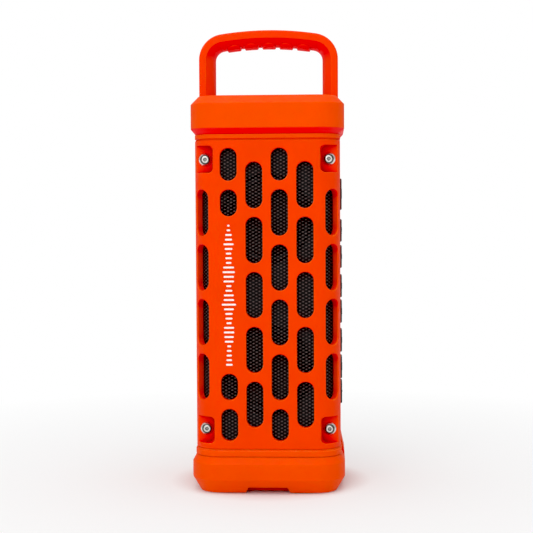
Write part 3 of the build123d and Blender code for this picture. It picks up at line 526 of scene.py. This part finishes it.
def wedge(tip, way):
    """A solid triangle whose tip points across the key, to the right for way 1 and to the left for -1."""
    return [Vector(point) * MM for point in ((tip - way * 3.2, 1.9), (tip - way * 3.2, -1.9), (tip, 0))]


def link(middle):
    """One loop of a two-link chain."""
    loop = arc(1.4, 90, 270, (middle - 1.1, 0)) + arc(1.4, -90, 90, (middle + 1.1, 0))
    return line(loop + loop[:1])


key_marks = [
    line(arc(2.7, 58, -238)) + line([(0, 1.3), (0, 3.6)]),                          # power
    line(arc(2.0, 45, 135, (0, -2.0))) + line(arc(3.9, 45, 135, (0, -2.0)))
    + line([(-0.1, -2.0), (0.1, -2.0)]),                                            # wireless
    link(-1.3) + link(1.3),                                                         # pair two speakers
    [wedge(-1.6, -1)] + line([(-2.4, -1.7), (-2.4, 1.7)]),                          # previous
    [wedge(0.4, 1)] + line([(1.6, -1.7), (1.6, 1.7)]) + line([(3.2, -1.7), (3.2, 1.7)]),   # play or pause
    [wedge(1.6, 1)] + line([(2.4, -1.7), (2.4, 1.7)]),                              # next
    line([(-2.4, 0), (2.4, 0)]) + line([(0, -2.4), (0, 2.4)]),                      # louder
    line([(-2.4, 0), (2.4, 0)]),                                                    # quieter
]
for number, mark in enumerate(key_marks, 1):
    key_low, key_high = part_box(f"key_{number}")
    key_middle = (key_low + key_high) / 2
    raised(f"key_{number}_mark", mark,
           lambda across, up, out: (key_high.x + out, key_middle.y + across, key_middle.z + up),
           MARK_RISE, "key_rubber", f"key_{number}")

# ---- Stage, light and camera -----------------------------------------------------------------------

object_middle = Vector((0, 0, (cad_low.z + cad_high.z) / 2))
HAZE = 0.012                                  # black level: the darkest tones are pulled down by this much
STAGE_RADIUS = 9.0
# The floor's share of plain light grows between two distances from the object: (from, to, share), in metres.
# Painted shade: without the plain light close in, the floor is darker under and just round the object.
FLOOR_FADES = ((0.051, 0.07, 0.45), (0.08, 0.45, 0.55))


def bare_material(name):
    """A new material with only an output node, and its nodes and links."""
    material = bpy.data.materials.new(name)
    material.use_nodes = True
    nodes, links = material.node_tree.nodes, material.node_tree.links
    nodes.clear()
    return material, nodes, links, nodes.new("ShaderNodeOutputMaterial")


def floor_paper(name):
    """White floor that turns into plain light away from the object, so that it meets the backdrop unseen; the
    light fades out towards the object, which leaves painted shade round the base.
    """
    material, nodes, links, output = bare_material(name)
    blend = nodes.new("ShaderNodeMixShader")
    paper = nodes.new("ShaderNodeBsdfDiffuse")
    paper.inputs["Color"].default_value = (0.8, 0.8, 0.8, 1)
    glow = nodes.new("ShaderNodeEmission")
    place = nodes.new("ShaderNodeTexCoord")
    span = nodes.new("ShaderNodeVectorMath")
    span.operation = "LENGTH"
    fade = nodes.new("ShaderNodeMath")
    fade.operation = "ADD"
    links.new(place.outputs["Object"], span.inputs[0])
    for step, (start, end, share) in enumerate(FLOOR_FADES):
        ramp = nodes.new("ShaderNodeMapRange")
        for socket, value in (("From Min", start), ("From Max", end), ("To Max", share)):
            ramp.inputs[socket].default_value = value
        links.new(span.outputs["Value"], ramp.inputs["Value"])
        links.new(ramp.outputs["Result"], fade.inputs[step])
    links.new(fade.outputs["Value"], blend.inputs["Fac"])
    links.new(paper.outputs["BSDF"], blend.inputs[1])
    links.new(glow.outputs["Emission"], blend.inputs[2])
    links.new(blend.outputs["Shader"], output.inputs["Surface"])
    return material


def studio_floor():
    """A round white floor under the object."""
    bpy.ops.mesh.primitive_circle_add(vertices=128, radius=STAGE_RADIUS, fill_type="NGON",
                                      location=(0, 0, -0.1 * MM))
    floor = bpy.context.object
    floor.name = "studio_floor"
    floor.data.materials.append(floor_paper("studio_paper"))


def studio_backdrop():
    """A plain white dome that only the camera sees."""
    bpy.ops.mesh.primitive_uv_sphere_add(segments=64, ring_count=32, radius=STAGE_RADIUS)
    dome = bpy.context.object
    dome.name = "studio_backdrop"
    material, nodes, links, output = bare_material("studio_white")
    glow = nodes.new("ShaderNodeEmission")
    links.new(glow.outputs["Emission"], output.inputs["Surface"])
    dome.data.materials.append(material)
    for kind in ("diffuse", "glossy", "transmission", "shadow", "volume_scatter"):
        setattr(dome, f"visible_{kind}", False)


def studio_sky():
    """Soft light from all round, strong from above and weak from below."""
    world = bpy.data.worlds.new("studio_sky")
    bpy.context.scene.world = world
    world.use_nodes = True
    nodes, links = world.node_tree.nodes, world.node_tree.links
    place = nodes.new("ShaderNodeTexCoord")
    split = nodes.new("ShaderNodeSeparateXYZ")
    ramp = nodes.new("ShaderNodeMapRange")
    ramp.inputs["From Min"].default_value = -1.0
    ramp.inputs["From Max"].default_value = 1.0
    ramp.inputs["To Min"].default_value = 0.32
    ramp.inputs["To Max"].default_value = 0.71
    nodes["Background"].inputs["Color"].default_value = (1, 1, 1, 1)
    links.new(place.outputs["Generated"], split.inputs["Vector"])
    links.new(split.outputs["Z"], ramp.inputs["Value"])
    links.new(ramp.outputs["Result"], nodes["Background"].inputs["Strength"])


def softbox(name, place, size, power):
    """A square area light aimed at the middle of the object and unseen by the camera."""
    data = bpy.data.lights.new(name, "AREA")
    data.size, data.energy = size, power
    light = bpy.data.objects.new(name, data)
    light.location = place
    light.rotation_mode = "QUATERNION"
    light.rotation_quaternion = (object_middle - Vector(place)).to_track_quat("-Z", "Y")
    light.visible_camera = False
    bpy.context.scene.collection.objects.link(light)


def photo_camera():
    """A long lens nearly square to the front: slightly to the key side, from above, and rolled."""
    azimuth, elevation, roll = math.radians(2.76), math.radians(2.5), math.radians(-0.3)
    distance, aim_height, aim_side = 0.8724, 148.36 * MM, -2.54 * MM
    back = Vector((math.sin(azimuth) * math.cos(elevation), -math.cos(azimuth) * math.cos(elevation),
                   math.sin(elevation)))
    right = Vector((math.cos(azimuth), math.sin(azimuth), 0))
    data = bpy.data.cameras.new("camera")
    data.lens, data.sensor_width = 85, 36
    camera = bpy.data.objects.new("camera", data)
    camera.location = Vector((0, 0, aim_height)) + right * aim_side + back * distance
    camera.rotation_mode = "QUATERNION"
    camera.rotation_quaternion = (-back).to_track_quat("-Z", "Y") @ Quaternion((0, 0, 1), roll)
    bpy.context.scene.collection.objects.link(camera)
    bpy.context.scene.camera = camera


studio_floor()
studio_backdrop()
studio_sky()
softbox("front_light", (-0.5, -2.0, 1.25), 1.7, 18.5)
softbox("top_light", (0.0, -0.3, 2.0), 1.4, 12.5)
photo_camera()
view = bpy.context.scene.view_settings
view.view_transform = "Standard"
view.use_curve_mapping = True
view.curve_mapping.black_level = (HAZE, HAZE, HAZE)
